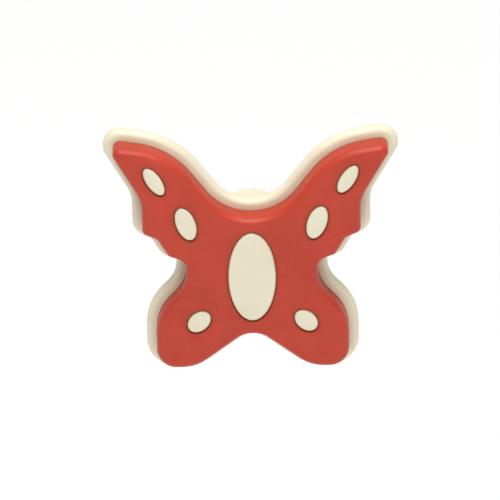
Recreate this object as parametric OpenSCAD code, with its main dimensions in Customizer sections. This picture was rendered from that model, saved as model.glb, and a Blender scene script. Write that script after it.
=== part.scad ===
// Butterfly furniture knob: a two-colour soft PVC butterfly on a round stem.
// It is fixed from inside the drawer or door by one M4 screw.
//
// Millimetres. The stem's axis is Y and +Z is up. The origin is the centre of the stem's foot,
// where the knob meets the board. The butterfly faces -Y, and the screw comes in from +Y.

/* [Butterfly] */
// Span of the red face, wing tip to wing tip
face_span = 51.5; // [42:0.5:70]
// Height of the red face, tail lobes to wing tips
face_height = 45; // [37:0.5:60]
// Thickness of the red face
face_t = 5; // [4:0.1:7]
// Rounding of the red face's front edge
face_round = 1.1; // [0.5:0.1:1.4]
// How far the cream base shows past the red face
border = 1.9; // [1:0.1:2.3]
// Thickness of the cream base
base_t = 3; // [2.5:0.1:5]
// Rounding of the cream base's front and back edges
base_round = 1.2; // [0.4:0.1:1.2]

/* [Spots] */
// Length of the body's spot
body_spot_l = 17.9; // [12:0.1:20]
// Width of the body's spot
body_spot_w = 9; // [6:0.1:11]
// Length of a wing tip's spot
tip_spot_l = 6.2; // [5:0.1:7.5]
// Width of a wing tip's spot
tip_spot_w = 2.8; // [2.4:0.1:3.6]
// Length of an upper wing's spot
wing_spot_l = 6.8; // [5:0.1:8]
// Width of an upper wing's spot
wing_spot_w = 3.7; // [3:0.1:4.5]
// Length of a tail lobe's spot
tail_spot_l = 5; // [4:0.1:6]
// Width of a tail lobe's spot
tail_spot_w = 3.7; // [3:0.1:4.8]
// How far a spot stands out of the red face
spot_proud = 0.2; // [0:0.05:0.5]
// Groove between a spot and the edge of its window
spot_groove = 0.25; // [0.1:0.05:0.4]
// How far the lip at a spot's back reaches past the spot
lip_w = 0.7; // [0.4:0.1:0.9]
// Thickness of that lip
lip_t = 1.4; // [0.8:0.1:2]

/* [Stem] */
// Distance from the foot to the front of the red face
projection = 25; // [20:0.5:36]
// Diameter of the stem at its foot
foot_d = 16; // [13:0.5:20]
// Diameter of the stem where it enters the base
neck_d = 14; // [12:0.5:17]
// Rounding of the foot's rim
foot_round = 0.8; // [0.3:0.1:1.2]
// How far the anchor plate reaches past the neck
anchor_lip = 4; // [2.5:0.5:4.5]
// Thickness of the anchor plate
anchor_t = 1.5; // [1:0.1:2]

/* [Insert and screw] */
// Outside diameter of the brass insert
insert_d = 7; // [6.5:0.1:8.5]
// Length of the brass insert
insert_l = 12; // [8:0.5:14]
// How far the insert lies below the foot
insert_sink = 0.3; // [0.1:0.1:0.6]
// Nominal diameter of the screw's thread
thread_d = 4; // [3.5:0.1:5]
// Length of the screw under its head
screw_l = 25; // [22:0.5:32]
// Wall between the end of the screw's hole and the front of the stem
hole_floor = 1; // [0.5:0.1:3]
// Diameter of the screw's head
head_d = 8; // [7:0.1:9.5]
// Height of the screw's head
head_h = 2.4; // [2:0.1:3]
// Outside diameter of the washer
washer_d = 9; // [8.5:0.1:12]
// Thickness of the washer
washer_t = 0.8; // [0.5:0.1:1.6]

/* [Clearances] */
// Between parts that are moulded or pressed together
seat_clear = 0.02; // [0.01:0.01:0.05]
// Between a spot's lip and its recess in the face
lip_clear = 0.1; // [0.05:0.05:0.2]
// Between the screw and the insert
thread_clear = 0.05; // [0.03:0.01:0.1]
// Between the screw and the washer's hole
washer_clear = 0.15; // [0.1:0.05:0.3]
// Between the screw's tip and the end of its hole, when run home
tip_clear = 0.5; // [0.3:0.1:1]

/* [Hidden] */

cream = "cornsilk";
arc_step = 8;      // degrees between points on a rounded corner
round_steps = 4;   // rings in a rounded edge
least_round = 0.3; // the tightest corner that an offset outline keeps
oval_points = 40;
fine = 96;         // $fn of true rounds
overcut = 1;       // how far a cut runs past the face that it opens

// Depths along Y, from the front of the butterfly to the foot at 0
front_y = -projection;
face_back_y = front_y + face_t;
base_back_y = face_back_y + base_t;
anchor_back_y = face_back_y + anchor_t;
insert_back_y = -insert_sink;
hole_end_y = face_back_y + hole_floor;
tip_y = hole_end_y + tip_clear;
head_y = tip_y + screw_l;
washer_y = head_y - washer_t;

anchor_d = neck_d + 2 * anchor_lip;
shank_r = thread_d / 2 - thread_clear / 2;
bore_r = shank_r + thread_clear;
relief_r = bore_r + 0.2; // the hole beyond the insert, wider than the thread

// Right half of the butterfly as corners [x, z, rounding], from the dip between the upper wings
// clockwise to the dip between the tail lobes, drawn at a span of 51.5 and a height of 45.
half_corners = [
    [0, 5, 10.4],        // dip between the upper wings
    [15.1, 24.7, 15.5],  // shoulder of the upper wing
    [27, 26.6, 1.4],     // wing tip
    [20.5, 15.3, 8],
    [20.5, 8.7, 1.2],    // lower corner of the upper wing
    [17.7, 7.5, 1.5],
    [15.7, 4.1, 0.7],    // small scallop
    [12.4, 2.9, 2.4],    // waist
    [12.4, -2.4, 7.5],
    [18.2, -8.3, 9],     // shoulder of the tail lobe
    [18.2, -18.9, 3.7],
    [10.8, -18.9, 8],
    [0, -10.8, 4.95],    // dip between the tail lobes
];
half_count = len(half_corners);
drawn_corners = [
    for (c = half_corners) c,
    for (i = [half_count - 2:-1:1]) [-half_corners[i][0], half_corners[i][1], half_corners[i][2]],
];

function unit(v) = v / norm(v);
function flat(v) = [v[0], v[1]];
function turn(u, v) = u[0] * v[1] - u[1] * v[0];

// Points of a rounded corner, moved outwards by grow. Each corner gives the same number of points
// whatever grow is, so that the rings of one plate match point for point.
function corner_points(before, corner, after, grow) =
    let (
        p = flat(corner),
        u = unit(flat(before) - p),
        v = unit(flat(after) - p),
        convex = turn(u, v) > 0 ? 1 : -1,
        half_angle = acos(u * v) / 2,
        inwards = unit(u + v),
        moved = p - inwards * convex * grow / sin(half_angle),
        r = max(corner[2] + convex * grow, least_round),
        centre = moved + inwards * r / sin(half_angle),
        sweep = 180 - 2 * half_angle,
        steps = max(2, ceil(sweep / arc_step)),
        middle = atan2(-inwards[1], -inwards[0])
    )
    [for (i = [0:steps])
        let (a = middle + convex * sweep * (0.5 - i / steps))
        centre + r * [cos(a), sin(a)]];

function outline(corners, grow) =
    let (n = len(corners))
    [for (i = [0:n - 1])
        each corner_points(corners[(i + n - 1) % n], corners[i], corners[(i + 1) % n], grow)];

// The drawn corners at the chosen span and height
drawn = outline(drawn_corners, 0);
stretch_x = face_span / (2 * max([for (p = drawn) p[0]]));
stretch_z = face_height / (max([for (p = drawn) p[1]]) - min([for (p = drawn) p[1]]));
stretch_r = min(stretch_x, stretch_z);
corners = [for (c = drawn_corners) [c[0] * stretch_x, c[1] * stretch_z, c[2] * stretch_r]];

function oval(length, width, grow = 0) =
    [for (i = [0:oval_points - 1])
        let (a = -i * 360 / oval_points)
        [(length / 2 + grow) * cos(a), (width / 2 + grow) * sin(a)]];

// [grow, y] of each ring of an edge rounded by r, where the edge meets the plane at y,
// and side is -1 on the front and 1 on the back
function rounded_edge(y, r, side) =
    [for (i = [0:round_steps])
        let (a = 90 * i / round_steps)
        [-r * (1 - cos(a)), y - side * r * (1 - sin(a))]];

function reversed(list) = [for (i = [len(list) - 1:-1:0]) list[i]];

// A closed solid through rings of [x, z] points at the given depths, front ring first.
// The rings run clockwise as seen from the front, and each end is a fan about hub [x, z],
// which must see every point of its ring.
module skin(rings, depths, hub = [0, 0]) {
    n = len(rings[0]);
    last = len(rings) - 1;
    front_hub = (last + 1) * n;
    back_hub = front_hub + 1;
    points = concat(
        [for (k = [0:last]) for (p = rings[k]) [p[0], depths[k], p[1]]],
        [[hub[0], depths[0], hub[1]], [hub[0], depths[last], hub[1]]]);
    sides = [for (k = [0:last - 1]) for (i = [0:n - 1])
        let (j = (i + 1) % n)
        each [[k * n + i, (k + 1) * n + j, k * n + j], [k * n + i, (k + 1) * n + i, (k + 1) * n + j]]];
    ends = [for (i = [0:n - 1])
        let (j = (i + 1) % n)
        each [[i, j, front_hub], [last * n + j, last * n + i, back_hub]]];
    polyhedron(points, concat(sides, ends));
}

// A plate in the butterfly's outline, with each edge given as [grow, y] rings
module butterfly(edges)
    skin([for (e = edges) outline(corners, e[0])], [for (e = edges) e[1]], hub = [0, 2 * stretch_z]);

// A solid of revolution about the stem's axis, from points of [radius, y]
module turned(profile) rotate([-90, 0, 0]) rotate_extrude($fn = fine) polygon(profile);

// A round from y to y + length, on the stem's axis
module rod(y, length, r) translate([0, y, 0]) rotate([-90, 0, 0]) cylinder(h = length, r = r, $fn = fine);

// A straight-sided oval from y to y + length, flat on XZ
module oval_bar(y, length, points)
    translate([0, y + length, 0]) rotate([90, 0, 0]) linear_extrude(length) polygon(points);

// Places a child that is drawn about the origin at a spot, with its length along the spot's slope
module at_spot(x, z, slope)
    translate([x * stretch_x, 0, z * stretch_z]) rotate([0, -slope, 0]) children();

// Each pair of spots: node's name without its side, place [x, z] and slope of the right one, length, width
spot_pairs = [
    ["tip_spot", 18.1, 19.7, 58, tip_spot_l, tip_spot_w],
    ["wing_spot", 12.3, 11, 71, wing_spot_l, wing_spot_w],
    ["tail_spot", 10.1, -9.1, -43, tail_spot_l, tail_spot_w],
];
sides = [["left_", -1], ["right_", 1]];

// A pair's member on one side
module at_side(pair, side)
    at_spot(side * pair[1], pair[2], side > 0 ? pair[3] : 180 - pair[3]) children();

// An oval inlay: a rounded front, straight sides and a lip at the back that traps it in the face
module spot(length, width) {
    spot_front_y = front_y - spot_proud;
    edge_r = min(0.5, spot_proud + spot_groove);
    front_edge = reversed(rounded_edge(spot_front_y, edge_r, -1));
    lip_y = face_back_y - lip_t;
    color(cream) union() {
        skin([for (e = front_edge) oval(length, width, e[0]), oval(length, width)],
            [for (e = front_edge) e[1], face_back_y - lip_t / 2]);
        oval_bar(lip_y, lip_t, oval(length, width, lip_w));
    }
}

// What a spot needs cut out of the face: its window and the recess for its lip
module spot_window(length, width) {
    lip_y = face_back_y - lip_t - seat_clear;
    oval_bar(front_y - overcut, face_t + overcut, oval(length, width, spot_groove));
    oval_bar(lip_y, lip_t + seat_clear + overcut, oval(length, width, lip_w + lip_clear));
}

// Red butterfly with a window for each spot
module wing_face() {
    edge = reversed(rounded_edge(front_y, face_round, -1));
    color("indianred") difference() {
        butterfly(concat(edge, [[0, face_back_y]]));
        at_spot(0, 0, 90) spot_window(body_spot_l, body_spot_w);
        for (pair = spot_pairs, side = sides)
            at_side(pair, side[1]) spot_window(pair[4], pair[5]);
    }
}

// Cream butterfly behind the face, with a seat for the anchor plate and a hole for the neck
module wing_base() {
    front_edge = reversed(rounded_edge(face_back_y, base_round, -1));
    back_edge = rounded_edge(base_back_y, base_round, 1);
    edges = [for (e = concat(front_edge, back_edge)) [border + e[0], e[1]]];
    color(cream) difference() {
        butterfly(edges);
        rod(face_back_y - overcut, overcut + anchor_t + seat_clear, anchor_d / 2 + seat_clear);
        rod(face_back_y, base_t + overcut, neck_d / 2 + seat_clear);
    }
}

// Rigid stem: anchor plate in the base, neck, and a foot that meets the board
module stem() {
    neck_r = neck_d / 2;
    foot_r = foot_d / 2;
    rim = [for (i = [0:round_steps])
        let (a = 90 * i / round_steps)
        [foot_r - foot_round * (1 - cos(a)), -foot_round * (1 - sin(a))]];
    outside = concat([[0, face_back_y], [anchor_d / 2, face_back_y], [anchor_d / 2, anchor_back_y],
        [neck_r, anchor_back_y], [neck_r, base_back_y]], rim, [[0, 0]]);
    color(cream) difference() {
        turned(outside);
        rod(hole_end_y, -hole_end_y, relief_r);
        rod(insert_back_y - insert_l - seat_clear, insert_l + seat_clear + insert_sink + overcut,
            insert_d / 2 + seat_clear);
    }
}

// Brass insert with two holding grooves and the bore that takes the screw
module threaded_insert() {
    r = insert_d / 2;
    groove_depth = 0.5;
    groove_w = insert_l / 8;
    front = insert_back_y - insert_l;
    grooves = [for (share = [0.3, 0.7]) front + share * insert_l];
    color("darkgoldenrod") difference() {
        rod(front, insert_l, r);
        rod(front - overcut, insert_l + 2 * overcut, bore_r);
        for (y = grooves) difference() {
            rod(y - groove_w / 2, groove_w, r + overcut);
            rod(y - groove_w, 2 * groove_w, r - groove_depth);
        }
    }
}

// Flat washer, which travels with the screw's head
module washer() {
    color("silver") difference() {
        rod(washer_y, washer_t, washer_d / 2);
        rod(washer_y - overcut, washer_t + 2 * overcut, thread_d / 2 + washer_clear);
    }
}

// M4 pan-head screw with a cross recess, run home in the insert
module fixing_screw() {
    head_r = head_d / 2;
    head_round = head_h * 0.6;
    dome = [for (i = [0:round_steps])
        let (a = 90 * i / round_steps)
        [head_r - head_round * (1 - cos(a)), head_y + head_h - head_round * (1 - sin(a))]];
    point = 0.6; // chamfer at the tip
    recess_l = head_d * 0.5;
    recess_w = head_d * 0.13;
    recess_depth = head_h * 0.6;
    color("silver") difference() {
        turned(concat([[0, tip_y], [shank_r - point, tip_y], [shank_r, tip_y + point],
            [shank_r, head_y], [head_r, head_y]], dome, [[0, head_y + head_h]]));
        for (a = [0, 90])
            rotate([0, a, 0])
                translate([-recess_l / 2, head_y + head_h - recess_depth, -recess_w / 2])
                    cube([recess_l, recess_depth + overcut, recess_w]);
    }
}

wing_face();
wing_base();
at_spot(0, 0, 90) spot(body_spot_l, body_spot_w);  // body_spot
for (pair = spot_pairs, side = sides)
    at_side(pair, side[1]) spot(pair[4], pair[5]);
stem();
threaded_insert();
washer();
fixing_screw();
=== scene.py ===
import math

import bmesh
import bpy
import numpy as np
from mathutils import Matrix, Vector
from mathutils.geometry import delaunay_2d_cdt


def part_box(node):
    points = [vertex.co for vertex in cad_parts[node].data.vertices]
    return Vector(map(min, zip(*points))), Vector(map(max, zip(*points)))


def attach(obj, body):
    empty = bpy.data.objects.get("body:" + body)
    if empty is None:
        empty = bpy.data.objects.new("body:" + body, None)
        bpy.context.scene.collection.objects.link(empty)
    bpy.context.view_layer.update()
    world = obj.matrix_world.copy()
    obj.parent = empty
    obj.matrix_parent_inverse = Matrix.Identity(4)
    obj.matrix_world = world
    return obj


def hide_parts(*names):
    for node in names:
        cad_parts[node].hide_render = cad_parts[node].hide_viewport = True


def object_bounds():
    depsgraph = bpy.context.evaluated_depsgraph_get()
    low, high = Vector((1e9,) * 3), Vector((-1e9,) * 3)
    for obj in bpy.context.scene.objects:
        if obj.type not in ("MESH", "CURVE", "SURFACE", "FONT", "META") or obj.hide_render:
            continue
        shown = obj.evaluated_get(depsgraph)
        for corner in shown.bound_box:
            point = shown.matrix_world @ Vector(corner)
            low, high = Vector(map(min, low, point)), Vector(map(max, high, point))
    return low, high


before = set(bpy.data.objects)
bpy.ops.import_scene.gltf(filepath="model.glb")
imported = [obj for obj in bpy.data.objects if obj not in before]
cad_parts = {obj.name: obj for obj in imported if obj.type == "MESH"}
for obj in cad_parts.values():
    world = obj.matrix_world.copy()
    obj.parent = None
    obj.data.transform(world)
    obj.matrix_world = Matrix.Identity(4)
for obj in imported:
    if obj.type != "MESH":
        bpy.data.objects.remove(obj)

# Butterfly furniture knob: the visible pieces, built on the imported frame.
# Shapes are worked out in millimetres, with Y along the stem, and stored in metres.

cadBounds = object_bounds()
metresPerMm = 0.001
mergeReach = 2e-7    # metres between points that become one
seatGap = 0.02       # between pieces that sit in one another


def nodeBox(node):
    low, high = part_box(node)
    return np.array(low) / metresPerMm, np.array(high) / metresPerMm


class Wire:
    # One output of a node. Sums and products of wires add Math nodes.
    def __init__(self, tree, socket):
        self.tree = tree
        self.socket = socket

    def maths(self, operation, *others):
        return self.tree.add("ShaderNodeMath", {"operation": operation}, [self, *others])

    def __add__(self, other):
        return self.maths("ADD", other)

    def __sub__(self, other):
        return self.maths("SUBTRACT", other)

    def __rsub__(self, other):
        return self.tree.add("ShaderNodeMath", {"operation": "SUBTRACT"}, [other, self])

    def __mul__(self, other):
        return self.maths("MULTIPLY", other)

    def __truediv__(self, other):
        return self.maths("DIVIDE", other)

    __radd__ = __add__
    __rmul__ = __mul__


class Tree:
    # Adds nodes to a material's tree, the world's or a geometry tree.
    def __init__(self, nodeTree):
        self.nodes = nodeTree.nodes
        self.links = nodeTree.links

    def add(self, kind, settings=None, inputs=None, output=0):
        # Settings come first, then the value or wire of each socket, by name or in order
        node = self.nodes.new(kind)
        for name, value in (settings or {}).items():
            if name == "stops":
                self.setStops(node.color_ramp.elements, value)
            else:
                setattr(node, name, value)
        pairs = enumerate(inputs) if isinstance(inputs, list) else (inputs or {}).items()
        for key, value in pairs:
            several = isinstance(value, tuple) and isinstance(value[0], Wire)
            for single in value if several else [value]:
                if isinstance(single, Wire):
                    self.links.new(single.socket, node.inputs[key])
                else:
                    node.inputs[key].default_value = single
        return Wire(self, node.outputs[output]) if node.outputs else None

    def setStops(self, elements, stops):
        while len(elements) < len(stops):
            elements.new(1)
        for element, (place, grey) in zip(elements, stops):
            element.position = place
            element.color = (grey, grey, grey, 1)

    def noise(self, place, scale, detail, roughness=0.5):
        return self.add("ShaderNodeTexNoise", {"noise_dimensions": "3D"}, {
            "Vector": place, "Scale": scale, "Detail": detail, "Roughness": roughness})

    def ramp(self, value, *stops):
        return self.add("ShaderNodeValToRGB", {"stops": stops}, [value])

    def mixColour(self, share, first, second, blend="MIX"):
        return self.add("ShaderNodeMix", {"data_type": "RGBA", "blend_type": blend},
                        {0: share, 6: first, 7: second}, output=2)

    # Reads the point attribute of painted shade on the plastics and tarnish on the metals
    def crease(self):
        return self.add("ShaderNodeAttribute", {"attribute_name": "crease"}, output=2)

    def bump(self, height, strength):
        return self.add("ShaderNodeBump", inputs={
            "Strength": strength, "Distance": metresPerMm, "Height": height})


def linear(red, green, blue):
    # An sRGB colour, 0 to 255, as the linear colour that a shader takes
    def channel(value):
        value /= 255
        return value / 12.92 if value <= 0.04045 else ((value + 0.055) / 1.055) ** 2.4
    return (channel(red), channel(green), channel(blue), 1.0)


def startMaterial(name):
    material = bpy.data.materials.new(name)
    material.use_nodes = True
    tree = Tree(material.node_tree)
    material.node_tree.nodes.clear()
    place = tree.add("ShaderNodeTexCoord", output=3)
    return material, tree, place


def endMaterial(material, tree, sockets):
    shader = tree.add("ShaderNodeBsdfPrincipled", inputs=sockets)
    tree.add("ShaderNodeOutputMaterial", inputs=[shader])
    return material


redPvcLook = {
    "colour": linear(197, 66, 46),
    "cloud": linear(180, 56, 34),       # slow, faint variation of the colour
    "fleck": linear(206, 86, 62),
    "shade": linear(158, 58, 28),       # painted shade colour, in the grooves, the seam and on the sides that face down and out
    "gloss": 0.34,
    "roughness": 0.42,
    "roughnessSpread": 0.10,
    "grainDepth": 0.006,
    "waveDepth": 0.05,
}
creamPvcLook = {
    "colour": linear(232, 226, 203),
    "cloud": linear(224, 216, 188),
    "fleck": linear(240, 236, 220),
    # painted shade colour, in the base's corner and on the spots' sides
    "shade": linear(206, 168, 118),
    "gloss": 0.42,
    "roughness": 0.46,
    "roughnessSpread": 0.10,
    "grainDepth": 0.006,
    "waveDepth": 0.04,
}
stemLook = {
    "colour": linear(238, 232, 212),
    "cloud": linear(231, 223, 199),
    "fleck": linear(244, 240, 226),
    # painted shade colour, where the stem meets the base and in its bore and pad
    "shade": linear(190, 170, 130),
    "gloss": 0.5,
    "roughness": 0.34,
    "roughnessSpread": 0.08,
    "grainDepth": 0.003,
    "waveDepth": 0.02,
}
plasticNoise = {
    # scale per metre, detail and roughness of each layer
    "cloud": (110, 4, 0.5),
    "mottle": (420, 3, 0.6),
    "fleck": (1500, 2, 0.5),
    # noise that breaks up the painted shade
    "grime": (960, 5, 0.6),
    "patches": (550, 5, 0.6),
    "grain": (5200, 2, 0.5),
    "wave": (160, 2, 0.5),
}
plasticMix = {
    "cloudEdges": (0.36, 0.64),
    "fleckEdges": (0.58, 0.74),
    "cloudShare": 0.45,
    "mottleShare": 0.55,
    "fleckShare": 0.22,
    # painted shade from the point attribute, and how much noise varies it
    "creaseShare": 0.62,
    "shadeBreakupShare": 0.3,
    "grainRoughness": 0.06,
    "subsurface": 0.10,
    "subsurfaceReach": 0.0008,
    "subsurfaceColours": (1.0, 0.5, 0.3),
}


def softPlastic(name, look):
    material, tree, place = startMaterial(name)
    mix = plasticMix
    noise = {layer: tree.noise(place, *numbers) for layer, numbers in plasticNoise.items()}
    cloud = tree.ramp(noise["cloud"], *zip(mix["cloudEdges"], (0, 1)))
    fleck = tree.ramp(noise["fleck"], *zip(mix["fleckEdges"], (0, 1)))
    clouding = cloud * mix["cloudShare"] + noise["mottle"] * mix["mottleShare"]
    # Painted shade: darker towards the shade colour in grooves, seams and on down-facing sides,
    # varied by noise
    shading = tree.crease() * (mix["creaseShare"] + mix["shadeBreakupShare"] * noise["grime"])
    colour = tree.mixColour(clouding, look["colour"], look["cloud"])
    colour = tree.mixColour(fleck * mix["fleckShare"], colour, look["fleck"])
    colour = tree.mixColour(shading, colour, look["shade"])
    roughness = (look["roughness"] + look["roughnessSpread"] * (noise["patches"] - 0.5)
                 + mix["grainRoughness"] * (noise["grain"] - 0.5))
    height = noise["grain"] * look["grainDepth"] + noise["wave"] * look["waveDepth"]
    return endMaterial(material, tree, {
        "Base Color": colour,
        "Roughness": roughness,
        "Normal": tree.bump(height, 1.0),
        "Specular IOR Level": look["gloss"],
        "Subsurface Weight": mix["subsurface"],
        "Subsurface Scale": mix["subsurfaceReach"],
        "Subsurface Radius": mix["subsurfaceColours"],
    })


metalLooks = {
    "brass": {
        "colour": linear(214, 172, 96),
        "tarnish": linear(150, 108, 52),
        "tarnishShare": 0.45,
        "roughness": 0.26,
        "lineDepth": 0.004,
    },
    "zincPlate": {
        "colour": linear(205, 208, 212),
        "tarnish": linear(160, 163, 172),
        "tarnishShare": 0.35,
        "roughness": 0.24,
        "lineDepth": 0.003,
    },
}
metalNoise = {
    # scale per metre, detail and roughness of each layer
    "tarnish": (260, 5, 0.62),
    "scratch": (1400, 4, 0.7),
    "turning": (5200, 2, 0.5),
}
metalMix = {
    "stretch": 0.03,       # of the turning lines round the axis
    "tarnishEdges": (0.42, 0.72),
    "creaseShare": 0.6,
    "tarnishRoughness": 0.16,
    "scratchRoughness": 0.10,
    "turningRoughness": 0.08,
    "bumpStrength": 0.8,
}


def turnedMetal(name, look):
    # Metal turned about Y: fine lines run round the axis, and tarnish lies in patches and creases
    material, tree, place = startMaterial(name)
    mix = metalMix
    lines = tree.add("ShaderNodeMapping", inputs={
        "Vector": place, "Scale": (mix["stretch"], 1.0, mix["stretch"])})
    tarnish = tree.ramp(tree.noise(place, *metalNoise["tarnish"]),
                        *zip(mix["tarnishEdges"], (0, 1)))
    turning = tree.noise(lines, *metalNoise["turning"])
    scratch = tree.noise(place, *metalNoise["scratch"])
    colour = tree.mixColour(tarnish * look["tarnishShare"], look["colour"], look["tarnish"])
    colour = tree.mixColour(tree.crease() * mix["creaseShare"], colour, look["tarnish"])
    roughness = (look["roughness"] + mix["tarnishRoughness"] * tarnish
                 + mix["scratchRoughness"] * (scratch - 0.5)
                 + mix["turningRoughness"] * (turning - 0.5))
    return endMaterial(material, tree, {
        "Base Color": colour,
        "Roughness": roughness,
        "Metallic": 1.0,
        "Normal": tree.bump(turning * look["lineDepth"], mix["bumpStrength"]),
    })


redPvc = softPlastic("redPvc", redPvcLook)
creamPvc = softPlastic("creamPvc", creamPvcLook)
stemPlastic = softPlastic("stemPlastic", stemLook)
brass = turnedMetal("insertBrass", metalLooks["brass"])
zincPlate = turnedMetal("zincPlate", metalLooks["zincPlate"])
print("materials made")


def unit(vector):
    return vector / np.linalg.norm(vector)


def roundCorner(before, corner, after, radius, grow, step, least):
    # Points on a rounded corner moved outwards by grow. Their number doesn't depend on grow.
    towards, away = unit(before - corner), unit(after - corner)
    convex = 1 if towards[0] * away[1] - towards[1] * away[0] > 0 else -1
    half = math.acos(float(towards @ away)) / 2
    inwards = unit(towards + away)
    moved = corner - inwards * convex * grow / math.sin(half)
    rounding = max(radius + convex * grow, least)
    centre = moved + inwards * rounding / math.sin(half)
    sweep = math.pi - 2 * half
    count = max(3, math.ceil(math.degrees(sweep) / step))
    middle = math.atan2(-inwards[1], -inwards[0])
    angles = middle + convex * sweep * (0.5 - np.arange(count + 1) / count)
    return centre + rounding * np.column_stack([np.cos(angles), np.sin(angles)])


def roundedLoop(corners, grow=0.0, step=3.0, least=0.3, spacing=0.5):
    # Closed loop through rounded corners [x, z, rounding], with its long straights divided
    count = len(corners)
    place = [np.array(corner[:2], float) for corner in corners]

    def arcs(outwards):
        return [roundCorner(place[i - 1], place[i], place[(i + 1) % count], corners[i][2],
                            outwards, step, least) for i in range(count)]

    plain, moved = arcs(0.0), arcs(grow)
    loop = []
    for i in range(count):
        j = (i + 1) % count
        start, end = moved[i][-1], moved[j][0]
        parts = max(1, math.ceil(np.linalg.norm(plain[j][0] - plain[i][-1]) / spacing))
        loop += list(moved[i])
        loop += [start + (end - start) * k / parts for k in range(1, parts)]
    return np.array(loop)


def ovalLoop(length, width, grow=0.0, slope=0.0, centre=(0.0, 0.0), count=96):
    angles = -np.arange(count) * math.tau / count
    along = (length / 2 + grow) * np.cos(angles)
    across = (width / 2 + grow) * np.sin(angles)
    c, s = math.cos(slope), math.sin(slope)
    return np.column_stack([centre[0] + along * c - across * s,
                            centre[1] + along * s + across * c])


def circleLoop(radius, count=96):
    return ovalLoop(2 * radius, 2 * radius, count=count)


def edgeRound(radius, steps):
    # [inset, depth] from the flat of a face to its side, round a quarter turn
    angles = np.linspace(math.pi / 2, 0, steps + 1)
    return [(radius * (1 - math.cos(a)), radius * (1 - math.sin(a))) for a in angles]


def sideRound(radius, steps):
    return reversed(edgeRound(radius, steps))


def inside(points, loop):
    # Which points lie in a closed loop, by counting the sides that each one's ray crosses
    found = np.zeros(len(points), bool)
    for (x1, z1), (x2, z2) in zip(loop, np.roll(loop, -1, axis=0)):
        if z1 != z2:
            crosses = (z1 > points[:, 1]) != (z2 > points[:, 1])
            found ^= crosses & (points[:, 0] < (x2 - x1) * (points[:, 1] - z1) / (z2 - z1) + x1)
    return found


def within(points, outer, holes):
    keep = inside(points, outer)
    for hole in holes:
        keep &= ~inside(points, hole)
    return keep


def nearest(points, loops):
    # Distance from each point to the closest point of any loop
    marks = np.vstack(loops)
    return np.array([np.sqrt(((marks - p) ** 2).sum(1).min()) for p in points])


def fromAxis(places):
    return np.hypot(places[:, 0], places[:, 2])


def fade(distance, reach):
    return np.exp(-(distance / reach) ** 2)


def readPoints(mesh, name):
    values = np.empty(len(mesh.vertices) * 3)
    mesh.vertices.foreach_get(name, values)
    return values.reshape(-1, 3)


def finishMesh(mesh, crease, sharp):
    # Closes the mesh and turns its faces outwards. Its point attribute, from 0 to 1, says how much
    # painted shade the plastics put on each point, and how much tarnish the metals put in their
    # hollows.
    shape = bmesh.new()
    shape.from_mesh(mesh)
    bmesh.ops.remove_doubles(shape, verts=shape.verts, dist=mergeReach)
    bmesh.ops.recalc_face_normals(shape, faces=shape.faces)
    openEdges = sum(1 for edge in shape.edges if not edge.is_manifold)
    shape.to_mesh(mesh)
    shape.free()
    if "crease" in mesh.attributes:
        mesh.attributes.remove(mesh.attributes["crease"])
    places = readPoints(mesh, "co") / metresPerMm
    values = np.clip(crease(places, mesh), 0, 1) if crease else np.zeros(len(places))
    attribute = mesh.attributes.new("crease", "FLOAT", "POINT")
    attribute.data.foreach_set("value", values.astype(np.float32))
    mesh.shade_smooth()
    mesh.set_sharp_from_angle(angle=math.radians(sharp))
    print("  ", len(mesh.polygons), "faces,", openEdges, "open edges")


fillGrid = {
    # how the points inside a flat face are spread, as shares of its spacing
    "rowStep": 0.87,
    "edgeGap": 0.6,
    "sameReach": 1e-7,     # millimetres
}


class Solid:
    # Gathers lofts and flat fills of one piece, square to Y, then makes its mesh
    def __init__(self):
        self.points = []
        self.faces = []

    def loft(self, loops, closed=False):
        # loops: [points, y] from one end of a wall to the other, each with as many points
        start, count = len(self.points), len(loops[0][0])
        for loop, y in loops:
            heights = np.broadcast_to(y, (count,))
            self.points += [(p[0], h, p[1]) for p, h in zip(loop, heights)]
        for k in range(len(loops) if closed else len(loops) - 1):
            a, b = start + k * count, start + (k + 1) % len(loops) * count
            for i in range(count):
                j = (i + 1) % count
                self.faces.append((a + i, a + j, b + j, b + i))

    def fill(self, y, outer, holes=(), spacing=1.0, crown=None):
        # Flat or gently crowned face between an outer loop and its holes
        loops = [outer, *holes]
        edges, start = [], 0
        for loop in loops:
            edges += [(start + i, start + (i + 1) % len(loop)) for i in range(len(loop))]
            start += len(loop)
        low, high = outer.min(0), outer.max(0)
        rows = np.arange(low[1] + spacing / 2, high[1], spacing * fillGrid["rowStep"])
        grid = np.array([(x + (r % 2) * spacing / 2, z) for r, z in enumerate(rows)
                         for x in np.arange(low[0], high[0], spacing)]).reshape(-1, 2)
        grid = grid[within(grid, outer, holes)]
        grid = grid[nearest(grid, loops) > spacing * fillGrid["edgeGap"]]
        flat = np.vstack(loops + [grid])
        found = delaunay_2d_cdt([Vector(p) for p in flat], edges, [], 0, fillGrid["sameReach"])
        points, triangles = np.array([tuple(v) for v in found[0]]), found[2]
        centres = np.array([points[list(t)].mean(0) for t in triangles])
        start = len(self.points)
        for p in points:
            self.points.append((p[0], y + (crown(p) if crown else 0.0), p[1]))
        for t, keep in zip(triangles, within(centres, outer, holes)):
            if keep:
                self.faces.append(tuple(start + i for i in t))

    def make(self, name, material, crease=None, sharp=38):
        print(name, "made")
        mesh = bpy.data.meshes.new(name)
        mesh.from_pydata([Vector(p) * metresPerMm for p in self.points], [], self.faces)
        finishMesh(mesh, crease, sharp)
        mesh.materials.append(material)
        piece = bpy.data.objects.new(name, mesh)
        bpy.context.scene.collection.objects.link(piece)
        return piece


def finishPiece(piece, node, body="knob"):
    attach(piece, body)
    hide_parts(node)


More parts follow.
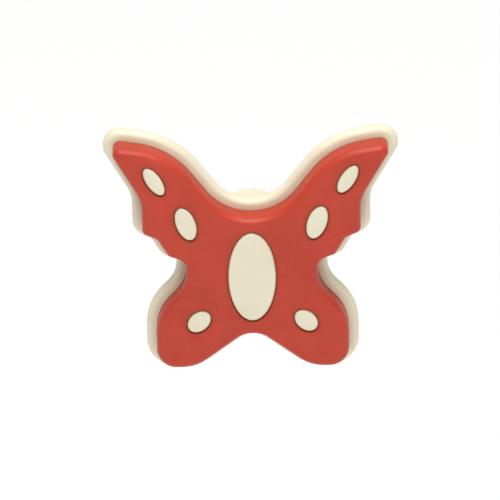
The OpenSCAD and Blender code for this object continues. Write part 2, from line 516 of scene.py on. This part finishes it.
outline = {
    # right half of the butterfly, as corners [x, z, rounding], clockwise from the dip
    # between the upper wings
    "halfCorners": [
        [0, 5, 10.4],
        [15.1, 24.7, 15.5],
        [27, 26.6, 1.4],
        [20.5, 15.3, 8],
        [20.5, 8.7, 1.2],
        [17.7, 7.5, 1.5],
        [15.7, 4.1, 0.7],
        [12.4, 2.9, 2.4],
        [12.4, -2.4, 7.5],
        [18.2, -8.3, 9],
        [18.2, -18.9, 3.7],
        [10.8, -18.9, 8],
        [0, -10.8, 4.95],
    ],
}
faceShape = {
    "edgeInset": 1.0,      # rounding of the front edge, across the front
    "edgeDepth": 1.6,      # and down the side
    "seam": 0.16,          # rounding where the face meets the base
    "crown": 0.10,         # how far the face rises between its edges
    "crownReach": 2.2,
    "windowRound": 0.32,   # rounding of a window's edge
    "windowGap": 0.25,     # groove between a spot and its window
    "grooveDepth": 0.3,
    "closeGap": 0.01,      # between a spot and its window, below the groove
    "halo": 0.4,           # ring of points round a window, for its painted shade
    "recessGap": 0.1,      # round a spot's lip, at the back
}
# painted shade on the red face: in the grooves round the spots, at the seam and on the sides that
# face down
faceShade = {
    "groove": 0.75,
    "grooveReach": 0.55,   # how far the painted shade spreads over the face
    "frontDepth": 0.9,     # how far down the sides it is worked out
    "seam": 0.9,
    "seamReach": 0.5,
    "side": 0.75,          # painted shade on the sides that face down and out
    "sideTurn": 0.55,
}
spotSizes = {
    # length, width and slope in degrees; where the spots lie comes from the frame
    "body_spot": (17.9, 9.0, 90),
    "right_tip_spot": (6.2, 2.8, 58),
    "left_tip_spot": (6.2, 2.8, 122),
    "right_wing_spot": (6.8, 3.7, 71),
    "left_wing_spot": (6.8, 3.7, 109),
    "right_tail_spot": (5.0, 3.7, -43),
    "left_tail_spot": (5.0, 3.7, 223),
}
spotShape = {
    "round": 0.45,
    "crown": 0.10,
    "innerRing": 0.12,     # share of the oval where the rings of its crown begin
    "lipReach": 0.7,
    "lipThickness": 1.4,
    # painted shade on the spot's side and round its rim
    "sideShade": 0.5,
    "sideStart": 0.9,      # of its rounding
    "rimShade": 0.3,
    "rimReach": 0.2,
}

faceLow, faceHigh = nodeBox("wing_face")
baseLow, baseHigh = nodeBox("wing_base")
stemLow, stemHigh = nodeBox("stem")


def fitCorners(half, low, high):
    # Mirrors the half, and stretches it so that its outline fills the box from low to high
    corners = half + [[-x, z, r] for x, z, r in half[-2:0:-1]]
    loop = roundedLoop(corners, step=8)
    size = loop.max(0) - loop.min(0)
    sx, sz = (high[0] - low[0]) / size[0], (high[2] - low[2]) / size[1]
    return [[x * sx, z * sz, r * min(sx, sz)] for x, z, r in corners]


wingCorners = fitCorners(outline["halfCorners"], faceLow, faceHigh)
border = (baseHigh[0] - baseLow[0] - faceHigh[0] + faceLow[0]) / 2


def wingLoop(grow=0.0):
    return roundedLoop(wingCorners, grow)


def spotLoop(node, grow=0.0):
    length, width, slope = spotSizes[node]
    low, high = nodeBox(node)
    centre = ((low[0] + high[0]) / 2, (low[2] + high[2]) / 2)
    return ovalLoop(length, width, grow, math.radians(slope), centre)


def shadeOnFace(places, mesh):
    # Painted shade: darker in the grooves and the seam, and a little on the sides that face down
    # and out, where less light falls
    tone = faceShade
    front = places[:, 1] < faceLow[1] + tone["frontDepth"]
    rims = [spotLoop(node, faceShape["windowGap"] / 2) for node in spotSizes]
    groove = np.zeros(len(places))
    groove[front] = fade(nearest(places[front][:, [0, 2]], rims), tone["grooveReach"])
    depth = places[:, 1] - faceHigh[1] + tone["seamReach"]
    seam = np.clip(depth / tone["seamReach"], 0, 1)
    facing = readPoints(mesh, "normal")
    side = (1 - np.abs(facing[:, 1])) * np.clip(tone["sideTurn"] - facing[:, 2], 0, 1)
    return np.maximum.reduce([tone["groove"] * groove, tone["seam"] * seam, tone["side"] * side])


def makeFace():
    front, back = faceLow[1], faceHigh[1]
    shape = faceShape
    fall = shape["edgeDepth"] - shape["crown"]
    edge = [(wingLoop(-inset * shape["edgeInset"]), front + shape["crown"] + depth * fall)
            for inset, depth in edgeRound(1.0, steps=9)]
    seam = [(wingLoop(-inset), back - depth) for inset, depth in sideRound(shape["seam"], steps=3)]
    solid = Solid()
    solid.loft(edge + seam)
    rim, rimY = edge[0]
    gap, rounding, close = shape["windowGap"], shape["windowRound"], shape["closeGap"]
    halos = [spotLoop(node, gap + rounding + shape["halo"]) for node in spotSizes]

    def crown(point):
        # the face rises a little between its edges
        away = nearest(np.array([point]), [rim])[0]
        return -shape["crown"] * (1 - math.exp(-away / shape["crownReach"]))

    solid.fill(rimY, rim, halos, spacing=0.8, crown=crown)
    recesses = []
    for node, halo in zip(spotSizes, halos):
        around = rimY + np.array([crown(p) for p in halo])
        top = rimY + np.array([crown(p) for p in spotLoop(node, gap + rounding)])
        step = back - spotShape["lipThickness"] - seatGap
        recess = spotLoop(node, spotShape["lipReach"] + shape["recessGap"])
        wall = [(halo, around)]
        wall += [(spotLoop(node, gap + rounding - inset), top + depth)
                 for inset, depth in edgeRound(rounding, steps=5)]
        wall += [(spotLoop(node, gap), top + shape["grooveDepth"]),
                 (spotLoop(node, close), top + shape["grooveDepth"]),
                 (spotLoop(node, close), step), (recess, step), (recess, back)]
        solid.loft(wall)
        recesses.append(recess)
    solid.fill(back, seam[-1][0], recesses, spacing=2.5)
    finishPiece(solid.make("wingFace", redPvc, shadeOnFace), "wing_face")


def makeSpot(node):
    shape = spotShape
    front, back = nodeBox(node)[0][1] + shape["crown"], faceHigh[1]
    rim = spotLoop(node, -shape["round"])
    centre = rim.mean(0)
    rings = [(centre + (rim - centre) * share, front - shape["crown"] * (1 - share ** 2))
             for share in np.linspace(shape["innerRing"], 1, 9)[:-1]]
    edge = [(spotLoop(node, -inset), front + depth)
            for inset, depth in edgeRound(shape["round"], steps=7)]
    lipFront = back - shape["lipThickness"]
    lip = spotLoop(node, shape["lipReach"])
    solid = Solid()
    solid.loft(rings + edge + [(spotLoop(node), lipFront), (lip, lipFront), (lip, back)])
    solid.fill(rings[0][1], rings[0][0], spacing=0.6)
    solid.fill(back, lip, spacing=1.5)

    # Painted shade on the spot's side wall and next to its rim
    def crease(places, mesh):
        rimAway = nearest(places[:, [0, 2]], [spotLoop(node)])
        onSide = places[:, 1] > front + shape["round"] * shape["sideStart"]
        rimShade = shape["rimShade"] * fade(rimAway, shape["rimReach"])
        return np.where(onSide, shape["sideShade"], rimShade)

    first, *others = node.split("_")
    name = first + "".join(word.capitalize() for word in others)
    finishPiece(solid.make(name, creamPvc, crease), node)


makeFace()
for spotNode in spotSizes:
    makeSpot(spotNode)


baseShape = {
    "round": 1.15,
    "shadeRings": (0.5, 0.3, 0.15, 0.0, -0.2),    # beside the face's edge, for the corner's painted shade
    "cornerShade": 0.2,       # painted shade in the corner against the face
    "cornerGap": 0.02,
    "cornerReach": 0.18,
    "frontDepth": 0.6,
    "stemShade": 0.6,         # painted shade round the stem, at the back
    "stemReach": 0.5,
    "backDepth": 0.4,
}
stemShape = {
    "points": 144,           # round each circle
    "anchorThickness": 1.5,
    "neckRadius": 7.0,
    "footRadius": 8.0,
    "footRound": 0.8,
    "holeRadius": 2.225,
    "holeFloor": 1.0,
    "insertGap": 0.02,
    "mouth": 0.35,           # chamfer where the insert goes in
    "padInner": 4.6,         # shallow ring in the foot
    "padOuter": 6.7,
    "padDepth": 0.22,
    "padSlope": 0.15,
    "partingRise": 0.05,     # line left by the two halves of the mould
    "partingReach": 0.16,
}
# painted shade on the stem
stemShade = {
    "base": 0.6,             # painted shade where it comes out of the base
    "baseReach": 0.35,
    "bore": 0.8,
    "pad": 0.35,
    "padReach": 0.5,
    "neckMargin": 1.0,
    "margin": 0.1,
}


# Painted shade in the corner against the face and round the stem at the back
def shadeOnBase(places, mesh):
    shape = baseShape
    front = places[:, 1] < baseLow[1] + shape["frontDepth"]
    corner = np.zeros(len(places))
    cornerAway = nearest(places[front][:, [0, 2]], [wingLoop(shape["cornerGap"])])
    corner[front] = shape["cornerShade"] * fade(cornerAway, shape["cornerReach"])
    stemAway = np.abs(fromAxis(places) - stemShape["neckRadius"])
    behind = places[:, 1] > baseHigh[1] - shape["backDepth"]
    return np.maximum(corner, behind * shape["stemShade"] * fade(stemAway, shape["stemReach"]))


def makeBase():
    front, back = baseLow[1], baseHigh[1]
    rounding = baseShape["round"]
    rise = [(wingLoop(border - inset), front + depth)
            for inset, depth in edgeRound(rounding, steps=8)]
    fall = [(wingLoop(border - inset), back - depth)
            for inset, depth in sideRound(rounding, steps=8)]
    anchor = circleLoop(stemHigh[0] + seatGap)
    neck = circleLoop(stemShape["neckRadius"] + seatGap)
    seat = front + stemShape["anchorThickness"] + seatGap
    rings = [(wingLoop(grow), front) for grow in baseShape["shadeRings"]]
    solid = Solid()
    solid.loft(rise + fall)
    solid.loft([(anchor, front), (anchor, seat), (neck, seat), (neck, back)])
    solid.loft([(rise[0][0], front)] + rings)
    solid.fill(front, rings[-1][0], [anchor], spacing=2.0)
    solid.fill(back, fall[-1][0], [neck], spacing=1.1)
    finishPiece(solid.make("wingBase", creamPvc, shadeOnBase), "wing_base")


def stemCircle(radius):
    return circleLoop(radius, stemShape["points"])


def partingLoop(radius):
    # A circle with the mould's fine raised line at its left and right
    rise = stemShape["partingRise"]
    loop = stemCircle(radius)
    side = np.abs(loop[:, 1]) / radius
    scale = 1 + rise / radius * fade(side * radius, stemShape["partingReach"])
    return loop * scale[:, None]


def makeStem():
    front, back = stemLow[1], stemHigh[1]
    shape, tone = stemShape, stemShade
    insertLow, insertHigh = nodeBox("threaded_insert")
    insertRadius = insertHigh[0] + shape["insertGap"]
    insertEnd = insertLow[1] - shape["insertGap"]
    rise = shape["partingRise"]
    anchorBack = front + shape["anchorThickness"]
    neckRadius, footRadius = shape["neckRadius"] - rise, shape["footRadius"] - rise
    outer = [(stemCircle(stemHigh[0]), front), (stemCircle(stemHigh[0]), anchorBack),
             (partingLoop(neckRadius), anchorBack), (partingLoop(neckRadius), baseHigh[1])]
    outer += [(partingLoop(footRadius - inset), back - depth)
              for inset, depth in sideRound(shape["footRound"], steps=8)]
    pad = [(shape["padOuter"], 0), (shape["padOuter"] - shape["padSlope"], shape["padDepth"]),
           (shape["padInner"] + shape["padSlope"], shape["padDepth"]), (shape["padInner"], 0)]
    outer += [(stemCircle(radius), back - depth) for radius, depth in pad]
    bore = [(insertRadius + shape["mouth"], back), (insertRadius, back - shape["mouth"]),
            (insertRadius, insertEnd), (shape["holeRadius"], insertEnd),
            (shape["holeRadius"], front + shape["holeFloor"])]
    solid = Solid()
    solid.loft(outer + [(stemCircle(radius), y) for radius, y in bore])
    solid.fill(front, stemCircle(stemHigh[0]), spacing=3.0)
    solid.fill(front + shape["holeFloor"], stemCircle(shape["holeRadius"]), spacing=1.0)

    # Painted shade where the stem leaves the base, in its bore and in its pad
    def crease(places, mesh):
        radius, y = fromAxis(places), places[:, 1]
        onNeck = radius > shape["neckRadius"] - tone["neckMargin"]
        atBase = fade(y - baseHigh[1], tone["baseReach"]) * onNeck
        behindFoot = y < back - tone["margin"]
        inBore = (radius < insertRadius + tone["margin"]) & behindFoot
        inPad = behindFoot & (y > back - tone["padReach"]) & (radius < shape["padOuter"])
        return np.maximum.reduce([tone["base"] * atBase, tone["bore"] * inBore,
                                  tone["pad"] * inPad])

    finishPiece(solid.make("knobStem", stemPlastic, crease, sharp=32), "stem")


makeBase()
makeStem()


def geometryTree(name, inputs):
    # A new geometry tree with a geometry input, the named inputs and a geometry output
    group = bpy.data.node_groups.new(name, "GeometryNodeTree")
    group.interface.new_socket("Geometry", in_out="INPUT", socket_type="NodeSocketGeometry")
    for label, kind, value in inputs:
        socket = group.interface.new_socket(label, in_out="INPUT", socket_type=kind)
        if value is not None:
            socket.default_value = value
    group.interface.new_socket("Geometry", in_out="OUTPUT", socket_type="NodeSocketGeometry")
    tree = Tree(group)
    node = tree.nodes.new("NodeGroupInput")
    return group, tree, {socket.name: Wire(tree, socket) for socket in node.outputs if socket.name}


def endGeometryTree(tree, given, added, start):
    # Turns what was made about Z to lie about Y, and joins it to the piece
    shift = tree.add("ShaderNodeCombineXYZ", inputs={"Y": start})
    placed = tree.add("GeometryNodeTransform", inputs={
        "Geometry": added, "Rotation": (-math.pi / 2, 0.0, 0.0), "Translation": shift})
    joined = tree.add("GeometryNodeJoinGeometry", inputs={"Geometry": (given["Geometry"], placed)})
    real = tree.add("GeometryNodeRealizeInstances", inputs=[joined])
    dressed = tree.add("GeometryNodeSetMaterial", inputs={
        "Geometry": real, "Material": given["Finish"]})
    tree.add("NodeGroupOutput", inputs=[dressed])


def applyTree(piece, group, values, crease=None, sharp=38):
    # Runs a geometry tree on a piece and keeps the result as its plain mesh
    print(piece.name, "given its", group.name)
    modifier = piece.modifiers.new(group.name, "NODES")
    modifier.node_group = group
    for item in group.interface.items_tree:
        if item.in_out == "INPUT" and item.name in values:
            modifier[item.identifier] = values[item.name]
    graph = bpy.context.evaluated_depsgraph_get()
    mesh = bpy.data.meshes.new_from_object(piece.evaluated_get(graph), depsgraph=graph)
    piece.modifiers.remove(modifier)
    finishMesh(mesh, crease, sharp)
    piece.data = mesh


thread = {
    "pitch": 0.7,
    "pointsPerTurn": 28,
    "crestWidth": 0.12,
    "rootWidth": 0.56,
    "leastTaper": 0.02,      # how small the ridge is at its two ends
}


def threadTree():
    # A right-handed helical ridge about Y. A negative Ridge Height points it at the axis.
    number = "NodeSocketFloat"
    group, tree, given = geometryTree("threadRidge", [
        ("Pitch", number, 0.0007),
        ("Turns", number, 10.0),
        ("Start", number, 0.0),
        ("Middle Radius", number, 0.0018),
        ("Ridge Height", number, 0.0004),
        ("Root Width", number, 0.0005),
        ("Crest Width", number, 0.0001),
        ("Points Per Turn", "NodeSocketInt", 24),
        ("Finish", "NodeSocketMaterial", None)])
    height = given["Ridge Height"]
    spiral = tree.add("GeometryNodeCurveSpiral", inputs={
        "Resolution": given["Points Per Turn"],
        "Rotations": given["Turns"],
        "Start Radius": given["Middle Radius"],
        "End Radius": given["Middle Radius"],
        "Height": given["Pitch"] * given["Turns"],
        "Reverse": True})
    upright = tree.add("GeometryNodeSetCurveNormal", {"mode": "Z_UP"}, {"Curve": spiral})
    share = tree.add("GeometryNodeSplineParameter", output=0)
    runOut = share.maths("MINIMUM", 1 - share) * given["Turns"] * 2
    taper = runOut.maths("MAXIMUM", thread["leastTaper"]).maths("MINIMUM", 1.0)
    profile = tree.add("GeometryNodeCurvePrimitiveQuadrilateral", {"mode": "TRAPEZOID"}, {
        "Height": height.maths("ABSOLUTE"),
        "Bottom Width": given["Root Width"],
        "Top Width": given["Crest Width"],
        "Offset": 0.0})
    facing = tree.add("ShaderNodeCombineXYZ", inputs={
        "X": 1.0, "Y": height.maths("SIGN"), "Z": 1.0})
    turned = tree.add("GeometryNodeTransform", inputs={
        "Geometry": profile, "Rotation": (0.0, 0.0, -math.pi / 2), "Scale": facing})
    ridge = tree.add("GeometryNodeCurveToMesh", inputs={
        "Curve": upright, "Profile Curve": turned, "Scale": taper, "Fill Caps": True})
    endGeometryTree(tree, given, ridge, given["Start"])
    return group


def knurlTree():
    # Rings of fine V ridges about Y, one ring for each band
    number, whole = "NodeSocketFloat", "NodeSocketInt"
    group, tree, given = geometryTree("knurlBands", [
        ("Ridges", whole, 40),
        ("Radius", number, 0.003),
        ("Ridge Size", number, 0.0002),
        ("Band Length", number, 0.002),
        ("Bands", whole, 3),
        ("First Band", number, 0.0),
        ("Band Step", number, 0.004),
        ("Finish", "NodeSocketMaterial", None)])
    ring = tree.add("GeometryNodeMeshCircle", inputs={
        "Vertices": given["Ridges"], "Radius": given["Radius"]})
    ridgeSize = tree.add("ShaderNodeCombineXYZ", inputs={
        "X": given["Ridge Size"], "Y": given["Ridge Size"], "Z": given["Band Length"]})
    ridge = tree.add("GeometryNodeMeshCube", inputs={"Size": ridgeSize})
    onEdge = tree.add("GeometryNodeTransform", inputs={
        "Geometry": ridge, "Rotation": (0.0, 0.0, math.pi / 4)})
    index = tree.add("GeometryNodeInputIndex")
    turn = tree.add("ShaderNodeCombineXYZ", inputs={"Z": index * math.tau / given["Ridges"]})
    band = tree.add("GeometryNodeInstanceOnPoints", inputs={
        "Points": ring, "Instance": onEdge, "Rotation": turn})
    step = tree.add("ShaderNodeCombineXYZ", inputs={"Z": given["Band Step"]})
    bandPlaces = tree.add("GeometryNodeMeshLine", inputs={
        "Count": given["Bands"], "Offset": step})
    bands = tree.add("GeometryNodeInstanceOnPoints", inputs={
        "Points": bandPlaces, "Instance": band})
    endGeometryTree(tree, given, bands, given["First Band"])
    return group


threadGroup = threadTree()
knurlGroup = knurlTree()


def threadValues(start, length, middleRadius, height, finish):
    return {
        "Pitch": thread["pitch"] * metresPerMm,
        "Turns": length / thread["pitch"],
        "Start": start * metresPerMm,
        "Middle Radius": middleRadius * metresPerMm,
        "Ridge Height": height * metresPerMm,
        "Root Width": thread["rootWidth"] * metresPerMm,
        "Crest Width": thread["crestWidth"] * metresPerMm,
        "Points Per Turn": thread["pointsPerTurn"],
        "Finish": finish,
    }


insertShape = {
    "threadRoot": 2.3,
    "threadCrest": 2.03,
    "threadEnds": 0.6,        # from each end of the insert to its thread
    "chamfer": 0.3,
    "ridges": 44,
    "ridgeDepth": 0.16,
    "ridgeSink": 0.02,
    "grooves": (0.3, 0.7),    # along its length
    "grooveShare": 0.125,     # of its length
    "grooveDepth": 0.5,
    "boreTone": 0.7,
    "boreMargin": 0.05,
}


def makeInsert():
    low, high = nodeBox("threaded_insert")
    shape = insertShape
    front, back, length = low[1], high[1], high[1] - low[1]
    radius = high[0] - shape["ridgeDepth"]
    root, crest, chamfer = shape["threadRoot"], shape["threadCrest"], shape["chamfer"]
    profile = [(crest + chamfer, front), (radius - chamfer, front), (radius, front + chamfer)]
    half = length * shape["grooveShare"] / 2
    deep = high[0] - shape["grooveDepth"]
    for share in shape["grooves"]:
        middle = front + share * length
        profile += [(radius, middle - half), (deep, middle - half),
                    (deep, middle + half), (radius, middle + half)]
    profile += [(radius, back - chamfer), (radius - chamfer, back), (root + chamfer, back),
                (root, back - chamfer), (root, front + chamfer)]
    solid = Solid()
    solid.loft([(circleLoop(r), y) for r, y in profile], closed=True)
    piece = solid.make("threadedInsert", brass)
    ends = shape["threadEnds"]
    bore = threadValues(front + ends, length - 2 * ends, (root + crest) / 2, crest - root, brass)
    applyTree(piece, threadGroup, bore, sharp=30)

    def crease(places, mesh):
        return shape["boreTone"] * (fromAxis(places) < root + shape["boreMargin"])

    nearGroove, farGroove = shape["grooves"]
    firstBand, middleBand = nearGroove / 2, (nearGroove + farGroove) / 2
    bandLength = (nearGroove - shape["grooveShare"] / 2) * length - 2 * chamfer
    applyTree(piece, knurlGroup, {
        "Ridges": shape["ridges"],
        "Radius": (radius - shape["ridgeSink"]) * metresPerMm,
        "Ridge Size": (shape["ridgeDepth"] * math.sqrt(2)) * metresPerMm,
        "Band Length": bandLength * metresPerMm,
        "Bands": len(shape["grooves"]) + 1,
        "First Band": (front + firstBand * length) * metresPerMm,
        "Band Step": (middleBand - firstBand) * length * metresPerMm,
        "Finish": brass,
    }, crease, sharp=30)
    finishPiece(piece, "threaded_insert")


washerShape = {
    "holeRadius": 2.15,
    "round": 0.16,         # on the punched side
    "burr": 0.05,          # on the other
    "holeTone": 0.8,
    "holeReach": 0.25,
}


def makeWasher():
    low, high = nodeBox("washer")
    shape = washerShape
    rim, hole, front, back = high[0], shape["holeRadius"], low[1], high[1]
    profile = [(rim - inset, back - depth) for inset, depth in edgeRound(shape["round"], steps=4)]
    profile += [(rim - inset, front + depth) for inset, depth in sideRound(shape["burr"], steps=2)]
    profile += [(hole + inset, front + depth) for inset, depth in edgeRound(shape["burr"], steps=2)]
    profile += [(hole + inset, back - depth) for inset, depth in sideRound(shape["round"], steps=4)]
    solid = Solid()
    solid.loft([(circleLoop(r), y) for r, y in profile], closed=True)

    def crease(places, mesh):
        return shape["holeTone"] * fade(fromAxis(places) - hole, shape["holeReach"])

    piece = solid.make("flatWasher", zincPlate, crease, sharp=30)
    finishPiece(piece, "washer", "washer")


screwShape = {
    "points": 64,            # round each circle
    "coreRadius": 1.56,
    "crestRadius": 1.97,
    "tipRadius": 0.9,
    "point": 0.6,
    "shoulder": 0.3,         # slope from the core to the plain part
    "plainShare": 0.14,      # of the shank, next to the head
    "plainInset": 0.09,
    "flare": 0.2,            # under the head
    "threadStart": 0.35,     # from the tip
    "threadShort": 0.5,      # how much shorter the thread is than the core
    "threadSink": 0.04,      # how deep its root lies in the core
    "headHeight": 2.4,
    "headRound": 0.6,        # of the head's height
    "headCrown": 0.12,
    "collar": 0.25,          # rounding under the head's rim
    "recessReach": 2.15,
    "recessWidth": 1.0,
    "recessFillet": 0.28,
    "recessDepth": 1.5,
    "recessLip": 0.12,
    "recessLipTaper": 0.96,
    "recessTaper": 0.62,     # how much the recess narrows to its floor
    "recessPit": 0.35,
    "recessPitRadius": 0.4,
}
screwTone = {
    "thread": 0.6,
    "threadMargin": 0.12,
    "recess": 0.9,
    "recessRadius": 2.2,
    "recessTop": 0.3,
}


def crossLoop(reach, width, fillet):
    # Outline of a cross recess, clockwise
    w = width / 2
    arm = [(-w, reach, w / 2), (w, reach, w / 2), (w, w, fillet)]
    corners = []
    for quarter in range(4):
        c, s = math.cos(-quarter * math.pi / 2), math.sin(-quarter * math.pi / 2)
        corners += [[x * c - z * s, x * s + z * c, rounding] for x, z, rounding in arm]
    return roundedLoop(corners, step=15, least=0.02, spacing=0.4)


def makeScrew():
    low, high = nodeBox("fixing_screw")
    shape, tone = screwShape, screwTone
    headRadius, top, tip = high[0], high[1], low[1]
    core, crest, crown = shape["coreRadius"], shape["crestRadius"], shape["headCrown"]
    plainRadius = crest - shape["plainInset"]
    seat = top - shape["headHeight"]
    plainEnd = seat - (seat - tip) * shape["plainShare"]
    shank = [(shape["tipRadius"], tip), (core, tip + shape["point"]),
             (core, plainEnd - shape["shoulder"]), (plainRadius, plainEnd),
             (plainRadius, seat - shape["flare"]), (crest, seat)]
    rim = [(headRadius - inset, seat + depth)
           for inset, depth in edgeRound(shape["collar"], steps=4)]
    rim[0] = (headRadius - shape["collar"], seat)
    dome = [(headRadius - inset, top - crown - depth)
            for inset, depth in sideRound(shape["headHeight"] * shape["headRound"], steps=10)]
    flatRadius = dome[-1][0]

    def circle(radius):
        return circleLoop(radius, shape["points"])

    def crownAt(point):
        return crown * (1 - (np.hypot(point[0], point[1]) / flatRadius) ** 2)

    def pitAt(point):
        share = 1 - np.hypot(point[0], point[1]) / shape["recessPitRadius"]
        return -shape["recessPit"] * max(0, share)

    cross = crossLoop(shape["recessReach"], shape["recessWidth"], shape["recessFillet"])
    mouth = np.array([top - crown + crownAt(p) for p in cross])
    lip, floor = top - shape["recessLip"], top - shape["recessDepth"]
    lipTaper, floorTaper = shape["recessLipTaper"], shape["recessTaper"]
    walls = [(cross, mouth), (cross * lipTaper, lip)]
    walls += [(cross * (lipTaper - share * (lipTaper - floorTaper)), lip - share * (lip - floor))
              for share in (0.5, 1.0)]
    solid = Solid()
    solid.loft([(circle(r), y) for r, y in shank + rim + dome])
    solid.fill(tip, circle(shape["tipRadius"]), spacing=0.5)
    solid.fill(top - crown, circle(flatRadius), [cross], spacing=0.35, crown=crownAt)
    solid.loft(walls)
    solid.fill(floor, walls[-1][0], spacing=0.3, crown=pitAt)
    piece = solid.make("fixingScrew", zincPlate, sharp=34)

    def crease(places, mesh):
        around, y = fromAxis(places), places[:, 1]
        inThread = (y < plainEnd) & (around < core + tone["threadMargin"])
        inHead = (y > seat) & (y < top - tone["recessTop"])
        return np.maximum(tone["thread"] * inThread,
                          tone["recess"] * (inHead & (around < tone["recessRadius"])))

    sink = shape["threadSink"]
    ridge = threadValues(tip + shape["threadStart"], plainEnd - tip - shape["threadShort"],
                         (crest + core) / 2 - sink / 2, crest - core + sink, zincPlate)
    applyTree(piece, threadGroup, ridge, crease, sharp=34)
    finishPiece(piece, "fixing_screw", "screw")


makeInsert()
makeWasher()
makeScrew()
print("fixings made")


studio = {
    "floorDrop": 0.50,         # metres below the knob
    "floorSize": 60.0,
    "floorColour": linear(246, 246, 246),
    "floorGlow": 0.76,
    "floorRoughness": 0.9,
    "floorNoise": (1.3, 2),    # scale per metre and detail
    "floorTones": ((0.3, 0.97), (0.7, 1.0)),
    "skyColour": (1.0, 0.99, 0.975, 1.0),
    "skyStrength": 0.28,
    "hazeStrength": 0.95,      # pale band where the sky meets the floor
    "hazeTop": 0.16,
}
lights = {
    "key": {"place": (-0.03, -0.26, 0.49), "size": 0.38, "watts": 1.85},
    "top": {"place": (0.0, 0.03, 0.5), "size": 0.4, "watts": 1.5},
    "fill": {"place": (0.40, -0.50, 0.08), "size": 0.4, "watts": 0.30},
}
view = {
    "elevation": 23.5,         # degrees above the horizon
    "roll": 0.83,
    "distance": 1.0,
    "width": 0.09406,          # of the view, at the face
    "aimAside": -0.00033,
    "aimUp": 0.00517,
    "sensor": 36.0,
    "nearest": 0.01,
}


def makeFloor():
    material, tree, place = startMaterial("paleFloor")
    tone = tree.ramp(tree.noise(place, *studio["floorNoise"]), *studio["floorTones"])
    endMaterial(material, tree, {
        "Base Color": tree.mixColour(1.0, tone, studio["floorColour"], "MULTIPLY"),
        "Roughness": studio["floorRoughness"],
        "Emission Color": studio["floorColour"],
        "Emission Strength": studio["floorGlow"]})
    half, z = studio["floorSize"] / 2, cadBounds[0][2] - studio["floorDrop"]
    corners = [(-half, -half, z), (half, -half, z), (half, half, z), (-half, half, z)]
    mesh = bpy.data.meshes.new("floor")
    mesh.from_pydata(corners, [], [(0, 1, 2, 3)])
    mesh.materials.append(material)
    floor = bpy.data.objects.new("floor", mesh)
    bpy.context.scene.collection.objects.link(floor)


def makeWorld():
    world = bpy.data.worlds.new("studio")
    world.use_nodes = True
    tree = Tree(world.node_tree)
    world.node_tree.nodes.clear()
    direction = tree.add("ShaderNodeTexCoord")
    height = tree.add("ShaderNodeSeparateXYZ", inputs=[direction], output=2)
    haze = tree.ramp(height, (0.0, 1.0), (studio["hazeTop"], 0.0))
    sky = studio["skyStrength"]
    background = tree.add("ShaderNodeBackground", inputs={
        "Color": studio["skyColour"], "Strength": sky + haze * (studio["hazeStrength"] - sky)})
    tree.add("ShaderNodeOutputWorld", inputs=[background])
    bpy.context.scene.world = world


def makeLight(name, place, size, watts):
    lamp = bpy.data.lights.new(name, "AREA")
    lamp.shape = "DISK"
    lamp.size = size
    lamp.energy = watts
    light = bpy.data.objects.new(name, lamp)
    light.location = place
    towards = Vector((0, 0, 0)) - Vector(place)
    light.rotation_euler = towards.to_track_quat("-Z", "Y").to_euler()
    bpy.context.scene.collection.objects.link(light)


def makeCamera():
    tilt = math.radians(view["elevation"])
    forward = Vector((0, math.cos(tilt), -math.sin(tilt)))
    up = Vector((0, math.sin(tilt), math.cos(tilt)))
    target = Vector((view["aimAside"], faceLow[1] * metresPerMm, 0)) + up * view["aimUp"]
    lens = bpy.data.cameras.new("camera")
    lens.sensor_width = view["sensor"]
    lens.lens = view["sensor"] * view["distance"] / view["width"]
    lens.clip_start = view["nearest"]
    camera = bpy.data.objects.new("camera", lens)
    camera.location = target - forward * view["distance"]
    turn = forward.to_track_quat("-Z", "Y").to_matrix().to_4x4()
    roll = Matrix.Rotation(math.radians(-view["roll"]), 4, "Z")
    camera.rotation_euler = (turn @ roll).to_euler()
    bpy.context.scene.collection.objects.link(camera)
    bpy.context.scene.camera = camera


makeFloor()
makeWorld()
for lightName, numbers in lights.items():
    makeLight(lightName, **numbers)
makeCamera()
bpy.context.scene.view_settings.view_transform = "Standard"
print("studio made")
